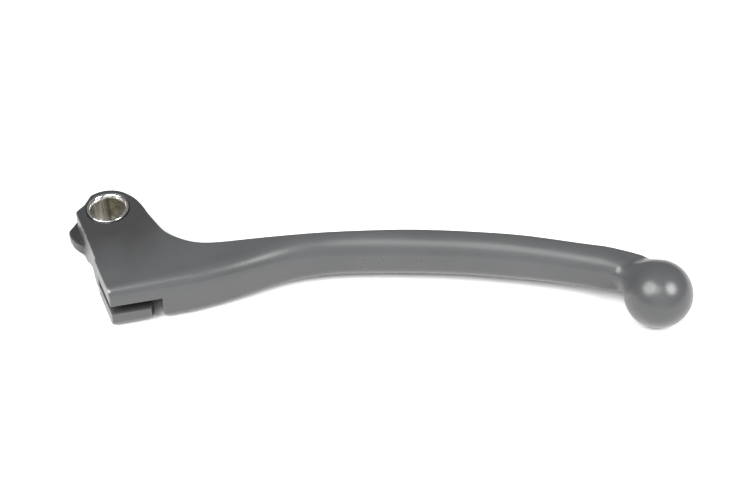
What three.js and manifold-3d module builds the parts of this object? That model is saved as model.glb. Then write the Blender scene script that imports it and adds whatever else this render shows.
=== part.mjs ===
// Clutch lever of a motorcycle: a cast aluminium lever that turns on a steel pivot collar.
// Millimetres. The origin is where the pivot axis meets the plane the lever lies on.
// +Z is the pivot axis, +X points to the ball, -Y is the side that the cable hooks into.
import * as THREE from "three";
import { mergeVertices } from "three/addons/utils/BufferGeometryUtils.js";
import Module from "manifold-3d";

// Pivot collar, a turned steel bush that the pivot bolt clamps.
const COLLAR_LENGTH = 16;
const COLLAR_RADIUS = 6.2;
const COLLAR_BORE_RADIUS = 5;
const COLLAR_LEAD_IN = 0.6;
const COLLAR_LEAD_DEPTH = 1.2;

// Head of the casting, around the collar.
const RUNNING_CLEARANCE = 0.09;
const HEAD_THICKNESS = 15;
const BOSS_RADIUS = 8.65;
const BORE_CHAMFER = 0.5;
const CABLE_CORNER = new THREE.Vector2(4, -35);
const SHOULDER = new THREE.Vector2(-9.6, -2.5);

// Edges. The near side, which the fingers close on, has a firm round above on the head that
// grows to nearly a quarter circle on the blade, and a tighter one below. The far edge is
// small and the end face is left crisp.
const NEAR_RADIUS_CORNER = 3.2;
const NEAR_RADIUS_HEAD = 4.3;
const NEAR_RADIUS_BLADE = 7.25;
const UNDER_RADIUS_HEAD = 2.75;
const UNDER_RADIUS_BLADE = 5.35;
const FAR_RADIUS = 0.9;
const END_FACE_RADIUS = 0.3;

// Blade, the part that the fingers pull. Its end is buried in the ball.
const BLADE_RISE = 2.7;
const BLADE_THINNING = 0.3;
const BLADE_TAPER = 0.9;
const NECK_TAPER = 1.8;
const BLADE_END_X = 162.5;

// Ball at the tip, which stands on the same plane as the collar.
const BALL_RADIUS = 10;
const BALL_CENTRE = new THREE.Vector3(162.4, -30, BALL_RADIUS);

// Cable hook: a slot for the wire and a blind pocket, open below, for the barrel nipple.
const SLOT_FLOOR = 6.1;
const SLOT_HEIGHT = 3.4;
const SLOT_DEPTH_Y = -22.4;
const NIPPLE_POCKET_RADIUS = 4.1;
const NIPPLE_POCKET_TOP = 11.6;
const NIPPLE_POCKET_CENTRE = new THREE.Vector2(16.85, -24.6);
const WIRE_SLIT_WIDTH = 3.5;

// Stop lug, a tab below the middle of the end face that meets the perch.
const LUG_BOTTOM = 2.6;
const LUG_THICKNESS = 3.4;

// End face: a shallow machined relief from the boss to the cable slot, and a scoop low down
// that runs from the root of the stop lug to the lower jaw of the slot.
const RELIEF_DEPTH = 0.4;
const RELIEF_LENGTH = 20.5;
const SCOOP_DEPTH = 2.2;

const FACETS = 96;
const HEAD_MID = COLLAR_LENGTH / 2;
const HEAD_BOTTOM = HEAD_MID - HEAD_THICKNESS / 2;
const HEAD_TOP = HEAD_MID + HEAD_THICKNESS / 2;

const wasm = await Module();
wasm.setup();

function solidOf(geometry) {
  const bare = geometry.clone();
  bare.deleteAttribute("normal");
  bare.deleteAttribute("uv");
  const merged = mergeVertices(bare, 1e-4);
  return new wasm.Manifold(
    new wasm.Mesh({
      numProp: 3,
      vertProperties: merged.getAttribute("position").array,
      triVerts: new Uint32Array(merged.index.array),
    }),
  );
}

function geometryOf(solid) {
  const mesh = solid.getMesh();
  const geometry = new THREE.BufferGeometry();
  geometry.setAttribute("position", new THREE.BufferAttribute(mesh.vertProperties, 3));
  geometry.setIndex(new THREE.BufferAttribute(mesh.triVerts, 1));
  const flat = geometry.toNonIndexed();
  flat.computeVertexNormals();
  return flat;
}

// A profile of [radius, z] pairs turned about +Z through (x, y).
function turned(profile, x = 0, y = 0) {
  const points = profile.map(([radius, z]) => new THREE.Vector2(radius, z));
  const lathe = new THREE.LatheGeometry(points, FACETS);
  return lathe.rotateX(Math.PI / 2).translate(x, y, 0);
}

// A plan shape raised from z = low to z = high.
function raised(shape, low, high) {
  const options = { depth: high - low, bevelEnabled: false, curveSegments: 16 };
  return new THREE.ExtrudeGeometry(shape, options).translate(0, 0, low);
}

const vectors = (points) => points.map(([x, y]) => new THREE.Vector2(x, y));

function pointsOf(path) {
  const points = path.getPoints(5);
  return points.filter((p, i) => i === 0 || p.distanceTo(points[i - 1]) > 0.01);
}

// Plan of the near edge, counter-clockwise, closed well behind the lever.
function nearOutline() {
  const start = new THREE.Vector2(28, -29.4);
  const edge = [
    [40, -25.2],
    [52, -20.2],
    [60, -18.1],
    [70, -17],
    [84, -16.9],
    [100, -17.5],
    [111, -18.4],
    [123, -20.05],
    [135, -22.15],
    [141, -23.5],
    [147, -24.9],
    [154, -26.7],
    [BLADE_END_X, -29.2],
  ];
  const before = start.clone().lerp(CABLE_CORNER, 3);
  const beyond = BLADE_END_X + 27.5;
  const path = new THREE.Path();
  path.moveTo(before.x, before.y);
  [1, 0.5, 0].forEach((share) => {
    const point = start.clone().lerp(CABLE_CORNER, share);
    path.lineTo(point.x, point.y);
  });
  path.splineThru(vectors(edge));
  path.lineTo(beyond, -34);
  path.lineTo(beyond, 60);
  path.lineTo(before.x, 60);
  return pointsOf(path);
}

// Plan of the far edge, the boss and the end face, closed well in front of the lever.
function farOutline() {
  const edge = [
    [162.2, -23],
    [161.2, -20.9],
    [159.6, -19.5],
    [157.4, -18.35],
    [155, -17.6],
    [151, -17.05],
    [147, -16.55],
    [141, -15.5],
    [135, -14.4],
    [129, -13.3],
    [123, -12.35],
    [111, -11],
    [99, -10],
    [88, -9.75],
    [76, -10.1],
    [64, -10.65],
    [46, -12.6],
    [35, -14.2],
    [28.5, -14.35],
    [24.3, -13.2],
    [20.6, -11.4],
    [17.4, -8.95],
    [15, -5.6],
    [12.5, -2.05],
    [10.2, 1.9],
    [7.9, 4.85],
    [6.1, 6.35],
  ];
  const degrees = THREE.MathUtils.degToRad;
  const beyond = SHOULDER.clone().lerp(CABLE_CORNER, 2);
  const path = new THREE.Path();
  path.moveTo(beyond.x, beyond.y);
  path.lineTo(BLADE_END_X, beyond.y);
  path.lineTo(BLADE_END_X, -26);
  path.splineThru(vectors(edge));
  path.absarc(0, 0, BOSS_RADIUS, degrees(60), degrees(136), false);
  path.lineTo(-7.6, 2);
  path.lineTo(SHOULDER.x, -0.9);
  path.lineTo(SHOULDER.x, SHOULDER.y);
  return pointsOf(path);
}

// The section changes along the lever: the blade gets slimmer and narrows to a neck.
const grown = THREE.MathUtils.smoothstep;
const slimming = (x) =>
  BLADE_THINNING * grown(x, 75, 105) + BLADE_TAPER * grown(x, 115, 150) + NECK_TAPER * grown(x, 146, 158);
const halfHeight = (x) => HEAD_THICKNESS / 2 - slimming(x);
const midHeight = (x) =>
  HEAD_MID + (BLADE_RISE * Math.max(x, 0)) / BALL_CENTRE.x;
const upperRadius = (x) =>
  NEAR_RADIUS_CORNER +
  (NEAR_RADIUS_HEAD - NEAR_RADIUS_CORNER) * grown(x, 4, 30) +
  (NEAR_RADIUS_BLADE - NEAR_RADIUS_HEAD) * grown(x, 32, 72);
const underRadius = (x) =>
  UNDER_RADIUS_HEAD + (UNDER_RADIUS_BLADE - UNDER_RADIUS_HEAD) * grown(x, 30, 72);
const nearRadius = ({ x }, side) => (side > 0 ? upperRadius(x) : underRadius(x)) - slimming(x);
const farRadius = ({ x, y }) => (x < 12 && y < -1 ? END_FACE_RADIUS : FAR_RADIUS);

// Offsets the outline inwards by each point's own edge radius, rolled over by an angle.
function rolledRing(outline, radiusAt, angle, side) {
  return outline.map((point, i) => {
    const before = outline[(i + outline.length - 1) % outline.length];
    const after = outline[(i + 1) % outline.length];
    const into = point.clone().sub(before).normalize();
    const out = after.clone().sub(point).normalize();
    const inward = new THREE.Vector2(-into.y - out.y, into.x + out.x);
    const mitre = 2 / inward.lengthSq();
    const radius = radiusAt(point, side);
    const plan = point.clone().addScaledVector(inward, mitre * radius * (1 - Math.cos(angle)));
    const rise = halfHeight(point.x) - radius * (1 - Math.sin(angle));
    return new THREE.Vector3(plan.x, plan.y, midHeight(point.x) + side * rise);
  });
}

// A plan outline given the lever's thickness, with its upper and lower edges rounded.
function rolledBody(outline, radiusAt, steps) {
  const rings = [];
  for (let k = steps; k >= 0; k -= 1) {
    rings.push(rolledRing(outline, radiusAt, (k / steps) * (Math.PI / 2), -1));
  }
  for (let k = 0; k <= steps; k += 1) {
    rings.push(rolledRing(outline, radiusAt, (k / steps) * (Math.PI / 2), 1));
  }
  const count = outline.length;
  const index = [];
  for (let r = 0; r + 1 < rings.length; r += 1) {
    for (let i = 0; i < count; i += 1) {
      const a = r * count + i;
      const b = r * count + ((i + 1) % count);
      index.push(a, b, b + count, a, b + count, a + count);
    }
  }
  const top = (rings.length - 1) * count;
  const cap = rings[0].map((p) => new THREE.Vector2(p.x, p.y));
  THREE.ShapeUtils.triangulateShape(cap, []).forEach(([a, b, c]) => {
    index.push(c, b, a, top + a, top + b, top + c);
  });
  const geometry = new THREE.BufferGeometry().setFromPoints(rings.flat());
  geometry.setIndex(index);
  return solidOf(geometry);
}

function leverBody() {
  const near = rolledBody(nearOutline(), nearRadius, 7);
  return near.intersect(rolledBody(farOutline(), farRadius, 3));
}

function stopLug() {
  const shape = new THREE.Shape();
  shape.moveTo(-2, -9);
  shape.lineTo(-6.6, -7.6);
  shape.quadraticCurveTo(-10.4, -5.8, -12.2, -2.4);
  shape.quadraticCurveTo(-13.3, -0.6, -12.5, 0.8);
  shape.lineTo(-11, 4);
  shape.quadraticCurveTo(-10.2, 5.6, -8, 5.4);
  shape.lineTo(-2, 6);
  return solidOf(raised(shape, LUG_BOTTOM, LUG_BOTTOM + LUG_THICKNESS));
}

function ball() {
  const sphere = new THREE.SphereGeometry(BALL_RADIUS, 64, 32);
  return solidOf(sphere.rotateX(Math.PI / 2).translate(...BALL_CENTRE));
}

function collarBoreCut() {
  const radius = COLLAR_RADIUS + RUNNING_CLEARANCE;
  const flare = radius + BORE_CHAMFER + 1;
  return solidOf(
    turned([
      [0, HEAD_BOTTOM - 1],
      [flare, HEAD_BOTTOM - 1],
      [radius, HEAD_BOTTOM + BORE_CHAMFER],
      [radius, HEAD_TOP - BORE_CHAMFER],
      [flare, HEAD_TOP + 1],
      [0, HEAD_TOP + 1],
    ]),
  );
}

function nipplePocketCut() {
  const { x, y } = NIPPLE_POCKET_CENTRE;
  const profile = [
    [0, HEAD_BOTTOM - 1],
    [NIPPLE_POCKET_RADIUS, HEAD_BOTTOM - 1],
    [NIPPLE_POCKET_RADIUS, NIPPLE_POCKET_TOP],
    [0, NIPPLE_POCKET_TOP],
  ];
  return solidOf(turned(profile, x, y));
}

// Wire slot in from the end face, and the slit that lets the wire pass below the pocket.
function wireSlotCuts() {
  const { x, y } = NIPPLE_POCKET_CENTRE;
  const right = x + WIRE_SLIT_WIDTH / 2;
  const slot = new THREE.Shape();
  slot.moveTo(-12, SLOT_DEPTH_Y);
  slot.lineTo(-12, -40);
  slot.lineTo(right, -40);
  slot.lineTo(right, y);
  slot.lineTo(x, SLOT_DEPTH_Y - 0.5);
  const slit = new THREE.Shape();
  slit.moveTo(right - WIRE_SLIT_WIDTH, -40);
  slit.lineTo(right, -40);
  slit.lineTo(right, y);
  slit.lineTo(right - WIRE_SLIT_WIDTH, y);
  const wire = solidOf(raised(slot, SLOT_FLOOR, SLOT_FLOOR + SLOT_HEIGHT));
  return wire.add(solidOf(raised(slit, HEAD_BOTTOM - 1, SLOT_FLOOR + 1)));
}

// Turns a solid drawn with +X along the end face and +Y into the metal into place.
function onEndFace(geometry) {
  const along = CABLE_CORNER.clone().sub(SHOULDER);
  return solidOf(geometry.rotateZ(along.angle()).translate(SHOULDER.x, SHOULDER.y, 0));
}

function endFaceReliefCut() {
  const block = new THREE.BoxGeometry(RELIEF_LENGTH + 2.5, 4, 2 * HEAD_TOP);
  return onEndFace(block.translate((RELIEF_LENGTH - 2.5) / 2, RELIEF_DEPTH - 2, HEAD_MID));
}

function endFaceScoopCut() {
  const shape = new THREE.Shape();
  shape.moveTo(5, -1);
  shape.lineTo(7.2, 2);
  shape.quadraticCurveTo(9.5, 3.4, 13.2, 4.9);
  shape.lineTo(16, -1);
  return onEndFace(raised(shape, -SCOOP_DEPTH, 2).rotateX(Math.PI / 2));
}

function leverCasting() {
  const solid = leverBody()
    .subtract(endFaceReliefCut())
    .add(stopLug())
    .add(ball())
    .subtract(collarBoreCut())
    .subtract(nipplePocketCut())
    .subtract(wireSlotCuts())
    .subtract(endFaceScoopCut());
  const coated = new THREE.MeshStandardMaterial({
    color: 0x3c3e40,
    roughness: 0.5,
    metalness: 0.35,
  });
  const mesh = new THREE.Mesh(geometryOf(solid), coated);
  mesh.name = "lever_casting";
  return mesh;
}

function pivotCollar() {
  const wall = [
    [COLLAR_BORE_RADIUS, COLLAR_LEAD_DEPTH],
    [COLLAR_BORE_RADIUS + COLLAR_LEAD_IN, 0],
    [COLLAR_RADIUS, 0],
    [COLLAR_RADIUS, COLLAR_LENGTH],
    [COLLAR_BORE_RADIUS + COLLAR_LEAD_IN, COLLAR_LENGTH],
    [COLLAR_BORE_RADIUS, COLLAR_LENGTH - COLLAR_LEAD_DEPTH],
    [COLLAR_BORE_RADIUS, COLLAR_LEAD_DEPTH],
  ];
  const steel = new THREE.MeshStandardMaterial({
    color: 0xb9b6ae,
    roughness: 0.28,
    metalness: 1,
  });
  const mesh = new THREE.Mesh(turned(wall), steel);
  mesh.name = "pivot_collar";
  return mesh;
}

const clutchLever = new THREE.Group();
clutchLever.name = "clutch_lever";
clutchLever.add(leverCasting(), pivotCollar());

export default clutchLever;
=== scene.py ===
"""Looks of the clutch lever: a powder-coated cast lever on a turned steel pivot collar."""

import math

import bpy
import numpy as np
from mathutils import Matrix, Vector


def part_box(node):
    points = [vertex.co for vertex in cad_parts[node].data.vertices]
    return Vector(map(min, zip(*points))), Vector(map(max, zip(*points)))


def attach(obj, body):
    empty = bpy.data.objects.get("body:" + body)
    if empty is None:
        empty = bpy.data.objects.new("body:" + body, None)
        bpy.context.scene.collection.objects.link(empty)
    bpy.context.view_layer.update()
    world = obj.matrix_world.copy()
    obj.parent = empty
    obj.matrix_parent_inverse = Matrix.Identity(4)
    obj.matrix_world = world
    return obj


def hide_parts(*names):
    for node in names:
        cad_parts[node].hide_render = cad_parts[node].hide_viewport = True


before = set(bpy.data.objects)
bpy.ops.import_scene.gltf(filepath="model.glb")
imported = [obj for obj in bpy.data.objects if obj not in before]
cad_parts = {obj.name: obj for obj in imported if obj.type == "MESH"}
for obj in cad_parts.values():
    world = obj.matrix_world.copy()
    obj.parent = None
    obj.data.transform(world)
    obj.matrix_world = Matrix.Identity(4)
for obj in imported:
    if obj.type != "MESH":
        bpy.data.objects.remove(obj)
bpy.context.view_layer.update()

MM = 0.001
SEED = 11

# ---------------------------------------------------------------- dimensions, millimetres
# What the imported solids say: where the collar and the ball stand.
COLLAR_LOW, COLLAR_HIGH = (np.array(corner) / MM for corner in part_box("pivot_collar"))
CASTING_LOW, CASTING_HIGH = (np.array(corner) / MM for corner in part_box("lever_casting"))
COLLAR_RADIUS = (COLLAR_HIGH[0] - COLLAR_LOW[0]) / 2
COLLAR_LENGTH = COLLAR_HIGH[2] - COLLAR_LOW[2]
HEAD_MID = (COLLAR_LOW[2] + COLLAR_HIGH[2]) / 2
BALL_RADIUS = (CASTING_HIGH[2] - CASTING_LOW[2]) / 2
BALL_CENTRE = np.array([CASTING_HIGH[0] - BALL_RADIUS, CASTING_LOW[1] + BALL_RADIUS,
                        CASTING_LOW[2] + BALL_RADIUS])

COLLAR_BORE_RADIUS = 5.0
COLLAR_LEAD_IN = 0.6
COLLAR_LEAD_DEPTH = 1.2
RUNNING_CLEARANCE = 0.09

THICKNESS = 15.0
BOSS_RADIUS = 8.65
BORE_CHAMFER = 0.5
CABLE_CORNER = np.array([4.0, -35.0])
SHOULDER = np.array([-9.6, -2.5])

NEAR_RADIUS_CORNER = 3.2
NEAR_RADIUS_HEAD = 4.3
NEAR_RADIUS_BLADE = 7.25
UNDER_RADIUS_HEAD = 2.75
UNDER_RADIUS_BLADE = 5.35
FAR_RADIUS = 1.0
END_FACE_RADIUS = 0.25
BLADE_RISE = 2.7
BLADE_THINNING = 0.3
BLADE_TAPER = 0.9
NECK_TAPER = 1.8
BLADE_END_X = 162.5
NECK_FILLET_ABOVE = 5.0
NECK_FILLET_BELOW = 2.2

SLOT_FLOOR = 6.1
SLOT_HEIGHT = 3.4
SLOT_DEPTH_Y = -22.4
POCKET_RADIUS = 4.1
POCKET_TOP = 11.6
POCKET_CENTRE = np.array([16.85, -24.6])
SLIT_WIDTH = 3.5

LUG_BOTTOM = 2.6
LUG_THICKNESS = 3.4

RELIEF_DEPTH = 0.4
RELIEF_LENGTH = 20.5
SCOOP_DEPTH = 2.2

RELIEF_EDGE = 0.2
LUG_EDGE = 0.4
LUG_FILLET = 0.6
SCOOP_EDGE = 0.3
HOOK_EDGE = 0.25

CORNER_CHIP = (4.0, -33.7, 14.9)

COLLAR_LIP = 0.22
LATHE_RINGS = 80
LATHE_RING_DEPTH = 0.02

# Outlines close this far outside the casting, where nothing is left of it.
RUN_OUT = 70
BEHIND = 60
IN_FRONT = -44
LEFT_OF_HEAD = -14

# ---------------------------------------------------------------- how the skin is made
SMOOTHING_PASSES = 24
SKIN_PITCH = 0.35
BISECTIONS = 9
PULL_TO_CENTRE = 0.03
SHARP_ANGLE = 32

# ---------------------------------------------------------------- colours
COAT_DARK, COAT_LIGHT = (0.055, 0.056, 0.057), (0.064, 0.065, 0.067)
COAT_NEAR_PIVOT = (0.022, 0.022, 0.0225)
COAT_GRAIN = (0.085, 0.086, 0.088)
COAT_RUBBED = (0.2, 0.2, 0.2)
# Painted shade: the coat colour deep inside the cable hook and the bore.
COAT_PAINTED_SHADE_IN_CUTS = (0.012, 0.012, 0.012)
BARE_CHIP = (0.3, 0.3, 0.29)
STEEL = (0.86, 0.85, 0.83)
# Painted reflection in the bore: a brownish tint on one half and dark axial stripes on the other.
STEEL_PAINTED_REFLECTION_TINT = (0.50, 0.47, 0.33)
STEEL_PAINTED_REFLECTION_STRIPE = (0.36, 0.36, 0.31)
# A dark line down the bore wall.
STEEL_DARK_LINE = (0.2, 0.2, 0.17)
STEEL_RING = (0.3, 0.28, 0.25)

# ---------------------------------------------------------------- stage, metres
FLOOR_HALF_SIZE = 3.0
FLOOR_GAP = 0.03 * MM
WORLD_STRENGTH = 0.22
LIGHT_TARGET = (0.09, -0.015, 0.01)
SENSOR_WIDTH = 36
CAMERA_LENS = 80.88
CAMERA_PLACE = (0.08078, -0.36852, 0.36640)
CAMERA_TILT = 45


# ---------------------------------------------------------------- plan curves
def spline_through(points, per_span=10):
    """A uniform Catmull-Rom curve through the points, smoothed a little along its length."""
    p = np.array(points, float)
    last = len(p) - 1
    made = []
    for i in range(last):
        p0, p1, p2, p3 = p[max(i - 1, 0)], p[i], p[i + 1], p[min(i + 2, last)]
        for t in np.arange(per_span) / per_span:
            made.append(p1 + 0.5 * t * ((p2 - p0) + t * ((2 * p0 - 5 * p1 + 4 * p2 - p3)
                                                         + t * (3 * p1 - p0 - 3 * p2 + p3))))
    made.append(p[last])
    made = np.array(made)
    for _ in range(SMOOTHING_PASSES):
        made[1:-1] = 0.25 * made[:-2] + 0.5 * made[1:-1] + 0.25 * made[2:]
    return made


def arc(centre, radius, start, end, steps):
    """Points of a round arc, from one angle in degrees to the other."""
    a = np.radians(np.linspace(start, end, steps))
    return np.stack([centre[0] + radius * np.cos(a), centre[1] + radius * np.sin(a)], 1)


def rounded_corner(before, corner, after, radius, steps=6):
    """Points of the small arc that replaces a corner between two straight edges."""
    before, corner, after = (np.array(v, float) for v in (before, corner, after))
    u = (before - corner) / np.linalg.norm(before - corner)
    v = (after - corner) / np.linalg.norm(after - corner)
    half = math.acos(np.clip(u @ v, -1, 1)) / 2
    reach = radius / math.tan(half)
    t = np.linspace(0, 1, steps)[:, None]
    return ((corner + u * reach) * (1 - t) ** 2 + 2 * t * (1 - t) * corner
            + (corner + v * reach) * t ** 2)


def near_outline():
    """Plan of the near edge, from the cable corner to the ball, closed far behind the lever."""
    start = np.array([28, -29.4])
    slope = (start - CABLE_CORNER) / (start - CABLE_CORNER)[0]
    near = [tuple(start), (40, -25.2), (52, -20.2), (60, -18.1), (70, -17.0), (84, -16.9),
            (100, -17.5), (111, -18.4), (123, -20.05), (135, -22.15), (141, -23.5),
            (147, -24.9), (154, -26.7), (BLADE_END_X, -29.2)]
    return np.concatenate([
        [start - slope * RUN_OUT],
        spline_through(near),
        [(BLADE_END_X, BEHIND), (start[0] - RUN_OUT, BEHIND)],
    ])


def far_outline():
    """Plan of the end face, the boss and the far edge, closed far in front of the lever."""
    far = [(BLADE_END_X, -26.0), (162.2, -23.0), (161.2, -20.9), (159.6, -19.5), (157.4, -18.35),
           (155, -17.6), (151, -17.05), (147, -16.55), (141, -15.5), (135, -14.4), (129, -13.3),
           (123, -12.35), (111, -11.0), (99, -10.0), (88, -9.75), (76, -10.1), (64, -10.65),
           (46, -12.6), (35, -14.2), (28.5, -14.35), (24.3, -13.2), (20.6, -11.4), (17.4, -8.95),
           (15, -5.6), (12.5, -2.05), (10.2, 1.9), (7.9, 4.85), (6.1, 6.35)]
    boss = arc((0, 0), BOSS_RADIUS, 60, 136, 30)
    hollow, heel = np.array([-7.6, 2.0]), np.array([-9.6, -0.9])
    along = CABLE_CORNER - SHOULDER
    return np.concatenate([
        [SHOULDER + 2 * along, (BLADE_END_X, SHOULDER[1] + 2 * along[1])],
        spline_through(far + [tuple(boss[0])]),
        boss[1:],
        rounded_corner(boss[-1], hollow, heel, 1.0),
        rounded_corner(hollow, heel, SHOULDER, 1.2),
        rounded_corner(heel, SHOULDER, CABLE_CORNER, 0.5),
    ])


def bend(a, via, b, steps=8):
    """A quadratic curve from a to b, pulled towards via."""
    t = np.linspace(0, 1, steps)[:, None]
    a, via, b = (np.array(v, float) for v in (a, via, b))
    return a * (1 - t) ** 2 + 2 * t * (1 - t) * via + b * t ** 2


def lug_outline():
    """Plan of the stop lug, with its root inside the head."""
    return np.concatenate([
        [(-2, -9)],
        bend((-6.6, -7.6), (-10.4, -5.8), (-12.2, -2.4)),
        bend((-12.2, -2.4), (-13.3, -0.6), (-12.5, 0.8)),
        bend((-11, 4), (-10.2, 5.6), (-8, 5.4)),
        [(-2, 6)],
    ])


def slot_outline():
    """Plan of the cable slot, open at the end face and at the near side."""
    right = POCKET_CENTRE[0] + SLIT_WIDTH / 2
    return np.array([(LEFT_OF_HEAD, SLOT_DEPTH_Y), (LEFT_OF_HEAD, IN_FRONT), (right, IN_FRONT),
                     (right, POCKET_CENTRE[1]), (POCKET_CENTRE[0], SLOT_DEPTH_Y - 0.5)])


def slit_outline():
    """Plan of the slit that lets the cable wire into the nipple pocket."""
    right = POCKET_CENTRE[0] + SLIT_WIDTH / 2
    left = right - SLIT_WIDTH
    return np.array([(left, IN_FRONT), (right, IN_FRONT), (right, POCKET_CENTRE[1]),
                     (left, POCKET_CENTRE[1])])


def scoop_outline():
    """In the plane of the end face: distance along it, and height."""
    return np.concatenate([[(5, -1)], bend((7.2, 2), (9.5, 3.4), (13.2, 4.9)), [(16, -1)]])


# ---------------------------------------------------------------- distance fields
def polygon_distance(outline, x, y):
    """Signed distance to a closed outline, negative inside."""
    nearest = np.full(x.shape, 1e9)
    inside = np.zeros(x.shape, bool)
    for (ax, ay), (bx, by) in zip(outline, np.roll(outline, -1, 0)):
        ex, ey = bx - ax, by - ay
        if ex * ex + ey * ey < 1e-12:
            continue
        wx, wy = x - ax, y - ay
        t = np.clip((wx * ex + wy * ey) / (ex * ex + ey * ey), 0, 1)
        nearest = np.minimum(nearest, (wx - ex * t) ** 2 + (wy - ey * t) ** 2)
        if ay != by:
            crosses = ((ay > y) != (by > y)) & (wx < ex * wy / ey)
            inside ^= crosses
    return np.where(inside, -1, 1) * np.sqrt(nearest)


class PlanField:
    """Distance to an outline, kept on a fine grid and read between its nodes."""

    def __init__(self, outline, low, high, pitch=0.2):
        self.low, self.pitch = np.array(low, float), pitch
        nx, ny = (int(math.ceil((h - l) / pitch)) + 1 for l, h in zip(low, high))
        x, y = np.meshgrid(low[0] + pitch * np.arange(nx), low[1] + pitch * np.arange(ny),
                           indexing="ij")
        self.values = polygon_distance(outline, x, y)

    def __call__(self, x, y):
        nx, ny = self.values.shape
        u = np.clip((x - self.low[0]) / self.pitch, 0, nx - 1.001)
        v = np.clip((y - self.low[1]) / self.pitch, 0, ny - 1.001)
        i, j = u.astype(int), v.astype(int)
        u, v = u - i, v - j
        d = self.values
        return ((d[i, j] * (1 - u) + d[i + 1, j] * u) * (1 - v)
                + (d[i, j + 1] * (1 - u) + d[i + 1, j + 1] * u) * v)


def smoothstep(x, low, high):
    t = np.clip((x - low) / (high - low), 0, 1)
    return t * t * (3 - 2 * t)


def slimming(x):
    """How much the half thickness loses along the blade and at the neck."""
    return (BLADE_THINNING * smoothstep(x, 75, 105) + BLADE_TAPER * smoothstep(x, 115, 150)
            + NECK_TAPER * smoothstep(x, 146, 158))


def near_radius(x):
    """The upper near edge is a firm round on the head and nearly a quarter circle on the blade."""
    return (NEAR_RADIUS_CORNER + (NEAR_RADIUS_HEAD - NEAR_RADIUS_CORNER) * smoothstep(x, 4, 30)
            + (NEAR_RADIUS_BLADE - NEAR_RADIUS_HEAD) * smoothstep(x, 32, 72) - slimming(x))


def under_radius(x):
    """The lower near edge is tighter than the upper one."""
    grown = (UNDER_RADIUS_BLADE - UNDER_RADIUS_HEAD) * smoothstep(x, 30, 72)
    return UNDER_RADIUS_HEAD + grown - slimming(x)


def far_radius(x, y):
    """The end face has a crisp edge, the boss and the back of the blade a small round one."""
    on_end_face = smoothstep(-y, 2, 5) * smoothstep(12 - x - y * 0.3, 0, 6)
    return FAR_RADIUS + (END_FACE_RADIUS - FAR_RADIUS) * on_end_face


def half_height(x):
    return THICKNESS / 2 - slimming(x)


def mid_height(x):
    return HEAD_MID + BLADE_RISE * np.maximum(x, 0) / BALL_CENTRE[0]


def meet(a, b, radius):
    """Both solids at once, with the edge between them rounded."""
    return (np.minimum(-radius, np.maximum(a, b))
            + np.hypot(np.maximum(a + radius, 0), np.maximum(b + radius, 0)))


def meet_chamfered(a, b, leg):
    return np.maximum(np.maximum(a, b), (a + b + leg) * math.sqrt(0.5))


def join(a, b, radius):
    """Either solid, with a fillet where they meet."""
    return (np.maximum(radius, np.minimum(a, b))
            - np.hypot(np.maximum(radius - a, 0), np.maximum(radius - b, 0)))


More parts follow.
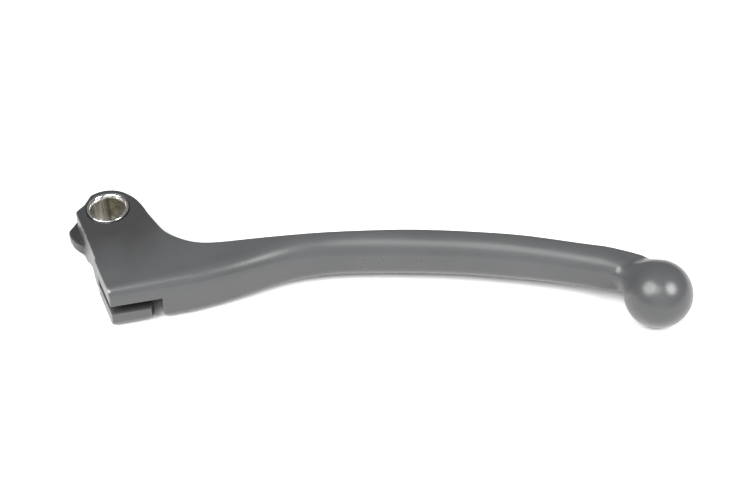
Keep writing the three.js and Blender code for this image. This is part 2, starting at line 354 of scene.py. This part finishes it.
class Casting:
    """Distance to the skin of the cast lever, in millimetres."""

    def __init__(self):
        low, high = (-16, -38), (170, 14)
        self.near = PlanField(near_outline(), low, high)
        self.far = PlanField(far_outline(), low, high)
        self.lug = PlanField(lug_outline(), (-16, -16), (4, 14))
        self.slot = PlanField(slot_outline(), (-16, -38), (32, 14))
        self.slit = PlanField(slit_outline(), (-16, -38), (32, 14))
        self.scoop = PlanField(scoop_outline(), (-4, -4), (40, 18))
        along = CABLE_CORNER - SHOULDER
        self.along = along / np.linalg.norm(along)
        self.into = np.array([-self.along[1], self.along[0]])

    def uncut(self, x, y, z):
        """The casting before the cable hook and the bore are machined into it."""
        radius = np.where(z > mid_height(x), near_radius(x), under_radius(x))
        side = self.near(x, y) + radius
        face = np.abs(z - mid_height(x)) - half_height(x) + radius
        d = (np.minimum(np.maximum(side, face), 0)
             + np.hypot(np.maximum(side, 0), np.maximum(face, 0)) - radius)
        d = meet(d, self.far(x, y), far_radius(x, y))
        s = (x - SHOULDER[0]) * self.along[0] + (y - SHOULDER[1]) * self.along[1]
        t = (x - SHOULDER[0]) * self.into[0] + (y - SHOULDER[1]) * self.into[1]
        d = meet(d, -np.maximum(t - RELIEF_DEPTH, s - RELIEF_LENGTH), RELIEF_EDGE)
        lug = meet(self.lug(x, y), np.abs(z - LUG_BOTTOM - LUG_THICKNESS / 2) - LUG_THICKNESS / 2,
                   LUG_EDGE)
        d = join(d, lug, LUG_FILLET)
        ball = np.sqrt((x - BALL_CENTRE[0]) ** 2 + (y - BALL_CENTRE[1]) ** 2
                       + (z - BALL_CENTRE[2]) ** 2) - BALL_RADIUS
        fillet = NECK_FILLET_BELOW + ((NECK_FILLET_ABOVE - NECK_FILLET_BELOW)
                                      * smoothstep(z, 6, 12) * smoothstep(-y, 20, 26))
        d = join(d, ball, fillet)
        return meet(d, -np.maximum(self.scoop(s, z), t - SCOOP_DEPTH), SCOOP_EDGE)

    def __call__(self, x, y, z):
        """The casting with its cable slot, slit, nipple pocket and chamfered bore."""
        slot_mid = SLOT_FLOOR + SLOT_HEIGHT / 2
        slot = np.maximum(self.slot(x, y), np.abs(z - slot_mid) - SLOT_HEIGHT / 2)
        slit = np.maximum(self.slit(x, y), z - SLOT_FLOOR - 1)
        pocket = np.maximum(np.hypot(x - POCKET_CENTRE[0], y - POCKET_CENTRE[1]) - POCKET_RADIUS,
                            z - POCKET_TOP)
        hook = np.minimum(np.minimum(slot, slit), pocket)
        d = meet(self.uncut(x, y, z), -hook, HOOK_EDGE)
        bore = COLLAR_RADIUS + RUNNING_CLEARANCE - np.hypot(x, y)
        return meet_chamfered(d, bore, BORE_CHAMFER)

    def normal(self, p, step=0.02):
        x, y, z = p.T
        g = np.stack([self(x + step, y, z) - self(x - step, y, z),
                      self(x, y + step, z) - self(x, y - step, z),
                      self(x, y, z + step) - self(x, y, z - step)], 1)
        return g / np.maximum(np.linalg.norm(g, axis=1, keepdims=True), 1e-9)

    def edge_measure(self, p, reach=0.7):
        """How much open space is round each point: 0 on a flat face, above 0 on an edge."""
        rng = np.random.default_rng(SEED)
        total = np.zeros(len(p))
        rays = rng.normal(size=(12, 3))
        rays = np.concatenate([rays, -rays])
        rays /= np.linalg.norm(rays, axis=1, keepdims=True)
        for ray in rays:
            x, y, z = (p + ray * reach).T
            total += self(x, y, z)
        return total / len(rays) / reach


# ---------------------------------------------------------------- surface from a distance field
def spaced(low, high, pitch_at):
    """Grid lines from low to high whose spacing varies along the axis."""
    lines = [low]
    while lines[-1] < high:
        lines.append(lines[-1] + pitch_at(lines[-1]))
    return np.array(lines)


# The four cells round a grid edge along each axis, in the order that turns its quad outwards.
AROUND = {
    0: ((0, -1, -1), (0, 0, -1), (0, 0, 0), (0, -1, 0)),
    1: ((-1, 0, -1), (-1, 0, 0), (0, 0, 0), (0, 0, -1)),
    2: ((-1, -1, 0), (0, -1, 0), (0, 0, 0), (-1, 0, 0)),
}


def contoured(solid, xs, ys, zs):
    """Vertices and quads of the zero surface, with a vertex in each crossed cell placed so that
    sharp edges stay sharp."""
    lines = (xs, ys, zs)
    x, y, z = np.meshgrid(xs, ys, zs, indexing="ij")
    field = np.stack([solid(x[i], y[i], z[i]) for i in range(len(xs))])
    size = np.array(field.shape)
    crossings, directions, cells, turned = [], [], [], []
    for axis in range(3):
        first = [slice(None)] * 3
        second = [slice(None)] * 3
        first[axis], second[axis] = slice(None, -1), slice(1, None)
        a, b = field[tuple(first)], field[tuple(second)]
        index = np.argwhere((a < 0) != (b < 0))
        outwards = a[tuple(index.T)] < 0
        p0 = np.stack([lines[k][index[:, k]] for k in range(3)], 1)
        p1 = p0.copy()
        p1[:, axis] = lines[axis][index[:, axis] + 1]
        lo, hi = np.where(outwards[:, None], p0, p1), np.where(outwards[:, None], p1, p0)
        for _ in range(BISECTIONS):
            mid = (lo + hi) / 2
            inside = solid(*mid.T)[:, None] < 0
            lo, hi = np.where(inside, mid, lo), np.where(inside, hi, mid)
        p = (lo + hi) / 2
        crossings.append(p)
        directions.append(solid.normal(p))
        cells.append(np.stack([index + np.array(shift) for shift in AROUND[axis]], 1))
        turned.append(~outwards)
    p, n = np.concatenate(crossings), np.concatenate(directions)
    cells, turned = np.concatenate(cells), np.concatenate(turned)
    key = (cells[..., 0] * size[1] + cells[..., 1]) * size[2] + cells[..., 2]
    unique, quads = np.unique(key.ravel(), return_inverse=True)
    count = len(unique)
    edge = np.repeat(np.arange(len(p)), 4)

    def gathered(values):
        return np.bincount(quads, weights=values[edge], minlength=count)

    share = gathered(np.ones(len(p)))
    centre = np.stack([gathered(p[:, k]) for k in range(3)], 1) / share[:, None]
    matrix = np.zeros((count, 3, 3))
    for r in range(3):
        for c in range(3):
            matrix[:, r, c] = gathered(n[:, r] * n[:, c])
    away = np.einsum("ij,ij->i", n, p)
    right = np.stack([gathered(n[:, k] * away) for k in range(3)], 1)
    right -= np.einsum("nij,nj->ni", matrix, centre)
    matrix += PULL_TO_CENTRE * share[:, None, None] * np.eye(3)
    vertex = centre + np.linalg.solve(matrix, right[..., None])[..., 0]
    cell = np.stack(np.unravel_index(unique, size), 1)
    low = np.stack([lines[k][cell[:, k]] for k in range(3)], 1)
    high = np.stack([lines[k][cell[:, k] + 1] for k in range(3)], 1)
    vertex = np.clip(vertex, low, high)
    quads = quads.reshape(-1, 4)
    quads[turned] = quads[turned][:, ::-1]
    return vertex, quads


def mesh_object(name, vertices, faces):
    """A mesh object from millimetre points, smooth except across its sharp edges."""
    mesh = bpy.data.meshes.new(name)
    mesh.from_pydata((np.asarray(vertices) * MM).tolist(), [], [list(map(int, f)) for f in faces])
    mesh.validate()
    mesh.shade_smooth()
    mesh.set_sharp_from_angle(angle=math.radians(SHARP_ANGLE))
    made = bpy.data.objects.new(name, mesh)
    bpy.context.scene.collection.objects.link(made)
    return made


def lever_piece():
    """The casting's skin, with how open its edges are and how deep its cuts go kept as attributes."""
    casting = Casting()

    def pitch(x):
        """Fine on the head, coarser along the straight blade and fine again at the ball."""
        return 0.34 + 0.5 * float(smoothstep(x, 34, 44)) - 0.42 * float(smoothstep(x, 146, 152))

    xs = spaced(CASTING_LOW[0] - 1.03, CASTING_HIGH[0] + 1.2, pitch)
    ys = spaced(CASTING_LOW[1] - 1.11, CASTING_HIGH[1] + 1.2, lambda _: SKIN_PITCH)
    zs = spaced(CASTING_LOW[2] - 1.07, CASTING_HIGH[2] + 1.2, lambda _: SKIN_PITCH)
    vertices, quads = contoured(casting, xs, ys, zs)
    piece = mesh_object("cast_lever", vertices, quads)
    if len(piece.data.vertices) == len(vertices):
        edge = piece.data.attributes.new("edge", "FLOAT", "POINT")
        edge.data.foreach_set("value", casting.edge_measure(vertices).astype(np.float32))
        depth = piece.data.attributes.new("depth", "FLOAT", "POINT")
        depth.data.foreach_set("value", -casting.uncut(*vertices.T).astype(np.float32))
    print("cast_lever:", len(vertices), "vertices,", len(quads), "quads")
    return piece


def lathed(name, profile, segments=192):
    """A closed profile of (radius, height) pairs turned about the pivot axis."""
    profile = np.array(profile, float)
    angle = np.linspace(0, 2 * np.pi, segments, endpoint=False)
    ring = np.stack([np.cos(angle), np.sin(angle)], 1)
    count = len(profile)
    vertices = [(r * c, r * s, h) for c, s in ring for r, h in profile]
    faces = []
    for i in range(segments):
        j = (i + 1) % segments
        for k in range(count):
            m = (k + 1) % count
            faces.append((i * count + k, j * count + k, j * count + m, i * count + m))
    return mesh_object(name, vertices, faces)


def collar_piece():
    """Steel bush: broken outer edges, a lead-in at each mouth and fine lathe rings in its bore."""
    low, high = COLLAR_LOW[2], COLLAR_HIGH[2]
    inner = COLLAR_BORE_RADIUS
    mouth = inner + COLLAR_LEAD_IN
    rim = [(COLLAR_RADIUS - COLLAR_LIP + COLLAR_LIP * math.cos(a),
            COLLAR_LIP * math.sin(a) - COLLAR_LIP) for a in np.linspace(0, math.pi / 2, 5)]
    funnel = [(mouth + 0.04, 0), (mouth - 0.05, -0.05), (mouth - 0.22, -0.3), (inner + 0.2, -0.7),
              (inner + 0.06, -1.0), (inner, -COLLAR_LEAD_DEPTH)]
    outer = [(r, low - d) for r, d in reversed(rim)]
    outer += [(COLLAR_RADIUS, h) for h in np.linspace(low + 2, high - 2, 5)]
    outer += [(r, high + d) for r, d in rim + funnel]
    rng = np.random.default_rng(SEED)
    past_lead = COLLAR_LEAD_DEPTH + 0.1
    heights = np.linspace(high - past_lead, low + past_lead, LATHE_RINGS)
    depth = LATHE_RING_DEPTH * (np.arange(LATHE_RINGS) % 2) * rng.uniform(0.4, 1, LATHE_RINGS)
    bore = [(inner + d, h) for d, h in zip(depth, heights)]
    bore += [(r, low - d) for r, d in reversed(funnel)]
    return lathed("steel_collar", outer + bore)


# ---------------------------------------------------------------- materials
class Shader:
    """A small helper that adds nodes to one material and wires them."""

    def __init__(self, name):
        self.material = bpy.data.materials.new(name)
        self.material.use_nodes = True
        self.tree = self.material.node_tree
        self.surface = self.tree.nodes["Principled BSDF"]
        self.coordinates = self.node("ShaderNodeTexCoord").outputs["Object"]

    def node(self, kind, **settings):
        made = self.tree.nodes.new(kind)
        for key, value in settings.items():
            setattr(made, key, value)
        return made

    def link(self, source, socket):
        self.tree.links.new(source, socket)

    def noise(self, scale, detail=4, roughness=0.55, source=None):
        made = self.node("ShaderNodeTexNoise")
        made.inputs["Scale"].default_value = scale
        made.inputs["Detail"].default_value = detail
        made.inputs["Roughness"].default_value = roughness
        self.link(source or self.coordinates, made.inputs["Vector"])
        return made.outputs["Fac"]

    def math(self, operation, a, b=None, clamp=False):
        made = self.node("ShaderNodeMath", operation=operation, use_clamp=clamp)
        for socket, value in zip(made.inputs, (a, b)):
            if isinstance(value, (int, float)):
                socket.default_value = value
            elif value is not None:
                self.link(value, socket)
        return made.outputs[0]

    def from_axis(self, x, y):
        """Distance from the pivot axis."""
        return self.math("SQRT", self.math("ADD", self.math("MULTIPLY", x, x),
                                           self.math("MULTIPLY", y, y)))

    def span(self, value, low, high, to_low=0.0, to_high=1.0):
        """The value with its range moved to another one, and held at both ends."""
        made = self.node("ShaderNodeMapRange", clamp=True)
        self.link(value, made.inputs["Value"])
        limits = {"From Min": low, "From Max": high, "To Min": to_low, "To Max": to_high}
        for key, number in limits.items():
            made.inputs[key].default_value = number
        return made.outputs["Result"]

    def mix(self, factor, a, b, blend="MIX"):
        made = self.node("ShaderNodeMix", data_type="RGBA", blend_type=blend)
        self.link(factor, made.inputs[0])
        for socket, value in ((made.inputs[6], a), (made.inputs[7], b)):
            if isinstance(value, tuple):
                socket.default_value = (*value, 1)
            else:
                self.link(value, socket)
        return made.outputs[2]

    def bump(self, height, strength, distance, under=None):
        made = self.node("ShaderNodeBump")
        made.inputs["Strength"].default_value = strength
        made.inputs["Distance"].default_value = distance
        self.link(height, made.inputs["Height"])
        if under is not None:
            self.link(under, made.inputs["Normal"])
        return made.outputs["Normal"]


def coat_material():
    """Dark grey satin powder coat: fine grain, faint clouding, edges rubbed lighter, and painted
    shade that darkens it inside the cuts.
    """
    m = Shader("powder_coat")
    edge = m.node("ShaderNodeAttribute", attribute_name="edge").outputs["Fac"]
    clouds = m.span(m.noise(55, 3), 0.3, 0.7)
    base = m.mix(clouds, COAT_DARK, COAT_LIGHT)
    split = m.node("ShaderNodeSeparateXYZ")
    m.link(m.coordinates, split.inputs[0])
    x, y, _ = split.outputs
    ragged = m.math("ADD", m.from_axis(x, y), m.span(m.noise(90, 3), 0.3, 0.7, -0.003, 0.003))
    base = m.mix(m.span(ragged, 0.01, 0.03, 0.75, 0.0), base, COAT_NEAR_PIVOT)
    grain = m.noise(2600, 2, 0.6)
    base = m.mix(m.span(grain, 0.62, 0.75, 0, 0.2), base, COAT_GRAIN)
    patches = m.span(m.noise(420, 4, 0.65), 0.42, 0.62)
    rubbed = m.math("MULTIPLY", m.span(edge, 0.16, 0.42), patches)
    base = m.mix(m.math("MULTIPLY", rubbed, 0.35), base, COAT_RUBBED)
    to_chip = m.node("ShaderNodeVectorMath", operation="DISTANCE")
    m.link(m.coordinates, to_chip.inputs[0])
    to_chip.inputs[1].default_value = tuple(v * MM for v in CORNER_CHIP)
    chip = m.math("ADD", to_chip.outputs["Value"],
                  m.span(m.noise(1100, 3), 0.3, 0.7, -0.0003, 0.0003))
    base = m.mix(m.span(chip, 0.0003, 0.0006, 0.8, 0), base, BARE_CHIP)
    # Painted shade: the coat darkens the deeper a point lies in the slot, slit, nipple pocket and
    # bore.
    depth = m.node("ShaderNodeAttribute", attribute_name="depth").outputs["Fac"]
    base = m.mix(m.span(depth, 0.1, 1.2, 0, 0.9), base, COAT_PAINTED_SHADE_IN_CUTS)
    m.link(base, m.surface.inputs["Base Color"])
    rough = m.span(m.noise(130, 4), 0.3, 0.7, 0.27, 0.33)
    m.link(m.math("ADD", rough, m.span(depth, 0.1, 1.2, 0, 0.5)), m.surface.inputs["Roughness"])
    m.surface.inputs["IOR"].default_value = 1.5
    peel = m.bump(m.noise(900, 3, 0.5), 0.25, 0.00006)
    m.link(m.bump(grain, 0.12, 0.00003, peel), m.surface.inputs["Normal"])
    return m.material


def steel_material():
    """Turned steel with fine rings. In the bore there is painted reflection, dark axial stripes on
    its left half and a brownish tint on its right half, and a dark line down the wall.
    """
    m = Shader("turned_steel")
    split = m.node("ShaderNodeSeparateXYZ")
    m.link(m.coordinates, split.inputs[0])
    x, y, z = split.outputs
    radius = m.from_axis(x, y)
    rings = m.node("ShaderNodeCombineXYZ")
    m.link(radius, rings.inputs[0])
    m.link(z, rings.inputs[2])
    ringed = m.noise(5200, 3, 0.6, rings.outputs[0])
    # Noise stretched along the axis, for the painted reflection stripes.
    reflection_stripe_space = m.node("ShaderNodeCombineXYZ")
    m.link(x, reflection_stripe_space.inputs[0])
    m.link(m.math("MULTIPLY", z, 0.04), reflection_stripe_space.inputs[2])
    reflection_stripe_noise = m.noise(1500, 3, 0.6, reflection_stripe_space.outputs[0])
    # The left half of the bore takes the painted reflection stripes, and the right half takes the
    # painted reflection tint.
    left = m.span(m.math("ADD", x, m.span(m.noise(700, 2), 0.3, 0.7, -0.0006, 0.0006)),
                  -0.0016, -0.0004, 1, 0)
    painted_reflection_tint = m.math("MULTIPLY", m.span(m.noise(330, 4, 0.6), 0.4, 0.62),
                  m.math("SUBTRACT", 1.0, left))
    in_bore = m.span(radius, 0.00512, 0.0053, 1, 0)
    # Painted reflection: a brownish tint on the right half of the bore.
    colour = m.mix(m.math("MULTIPLY", painted_reflection_tint, in_bore), STEEL, STEEL_PAINTED_REFLECTION_TINT)
    # Painted reflection: dark axial stripes on the left half of the bore.
    painted_reflection_stripes = m.math("MULTIPLY", m.math("MULTIPLY", m.span(reflection_stripe_noise, 0.42, 0.6), left), in_bore)
    colour = m.mix(m.math("MULTIPLY", painted_reflection_stripes, 0.75), colour, STEEL_PAINTED_REFLECTION_STRIPE)
    # A dark line down the bore wall, just left of the axis.
    dark_line = m.span(m.math("ABSOLUTE", m.math("ADD", x, 0.0009)), 0.0002, 0.0008, 0.8, 0)
    colour = m.mix(m.math("MULTIPLY", dark_line, in_bore), colour, STEEL_DARK_LINE)
    turned = m.math("MULTIPLY", m.span(ringed, 0.5, 0.66, 0, 0.5), in_bore)
    colour = m.mix(turned, colour, STEEL_RING)
    m.link(colour, m.surface.inputs["Base Color"])
    m.surface.inputs["Metallic"].default_value = 1.0
    rough = m.math("ADD", m.span(ringed, 0.3, 0.7, 0.10, 0.2), m.math("MULTIPLY", in_bore, 0.18))
    m.link(rough, m.surface.inputs["Roughness"])
    m.link(m.bump(ringed, 0.35, 0.00004), m.surface.inputs["Normal"])
    return m.material


def floor_material():
    """Plain pale matte ground."""
    m = Shader("pale_floor")
    faint = m.mix(m.span(m.noise(3, 2), 0.3, 0.7), (0.86, 0.86, 0.86), (0.88, 0.88, 0.88))
    m.link(faint, m.surface.inputs["Base Color"])
    m.surface.inputs["Roughness"].default_value = 0.9
    m.surface.inputs["Specular IOR Level"].default_value = 0.1
    return m.material


# ---------------------------------------------------------------- stage, light and camera
def floor():
    """Just under the collar and the ball, on which the lever lies."""
    size = FLOOR_HALF_SIZE
    level = min(COLLAR_LOW[2], CASTING_LOW[2]) - FLOOR_GAP / MM
    corners = [(-size, -size), (size, -size), (size, size), (-size, size)]
    vertices = [(x / MM, y / MM, level) for x, y in corners]
    made = mesh_object("floor", vertices, [(0, 1, 2, 3)])
    made.data.materials.append(floor_material())


def softbox(name, place, size, watts, target):
    """A round soft light that faces the target."""
    data = bpy.data.lights.new(name, "AREA")
    data.shape = "DISK"
    data.size = size
    data.energy = watts
    lamp = bpy.data.objects.new(name, data)
    lamp.location = place
    lamp.rotation_euler = (target - Vector(place)).to_track_quat("-Z", "Y").to_euler()
    bpy.context.scene.collection.objects.link(lamp)


def lights():
    """Three lamps in front and above, a broad weak one low in front, and an even sky."""
    target = Vector(LIGHT_TARGET)
    softbox("front_left", (-0.38, -0.285, 0.65), 0.66, 10.0, target)
    softbox("front_right", (0.49, -0.255, 0.47), 0.36, 4.5, target)
    softbox("front_middle", (-0.05, -0.5, 0.8), 0.5, 2.6, target)
    softbox("low_fill", (0.1, -0.9, 0.28), 0.9, 1.6, target)
    world = bpy.data.worlds.new("studio")
    world.use_nodes = True
    background = world.node_tree.nodes["Background"]
    background.inputs["Color"].default_value = (1, 1, 1, 1)
    background.inputs["Strength"].default_value = WORLD_STRENGTH
    bpy.context.scene.world = world
    bpy.context.scene.view_settings.view_transform = "Standard"


def camera():
    """Looks along +Y and 45 degrees down, from in front of the middle of the blade."""
    data = bpy.data.cameras.new("camera")
    data.sensor_width = SENSOR_WIDTH
    data.lens = CAMERA_LENS
    data.clip_start, data.clip_end = 0.01, 20
    made = bpy.data.objects.new("camera", data)
    made.location = CAMERA_PLACE
    made.rotation_euler = (math.radians(CAMERA_TILT), 0, 0)
    bpy.context.scene.collection.objects.link(made)
    bpy.context.scene.camera = made


lever = lever_piece()
lever.data.materials.append(coat_material())
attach(lever, "lever")
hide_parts("lever_casting")

collar = collar_piece()
collar.data.materials.append(steel_material())
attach(collar, "collar")
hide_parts("pivot_collar")

floor()
lights()
camera()
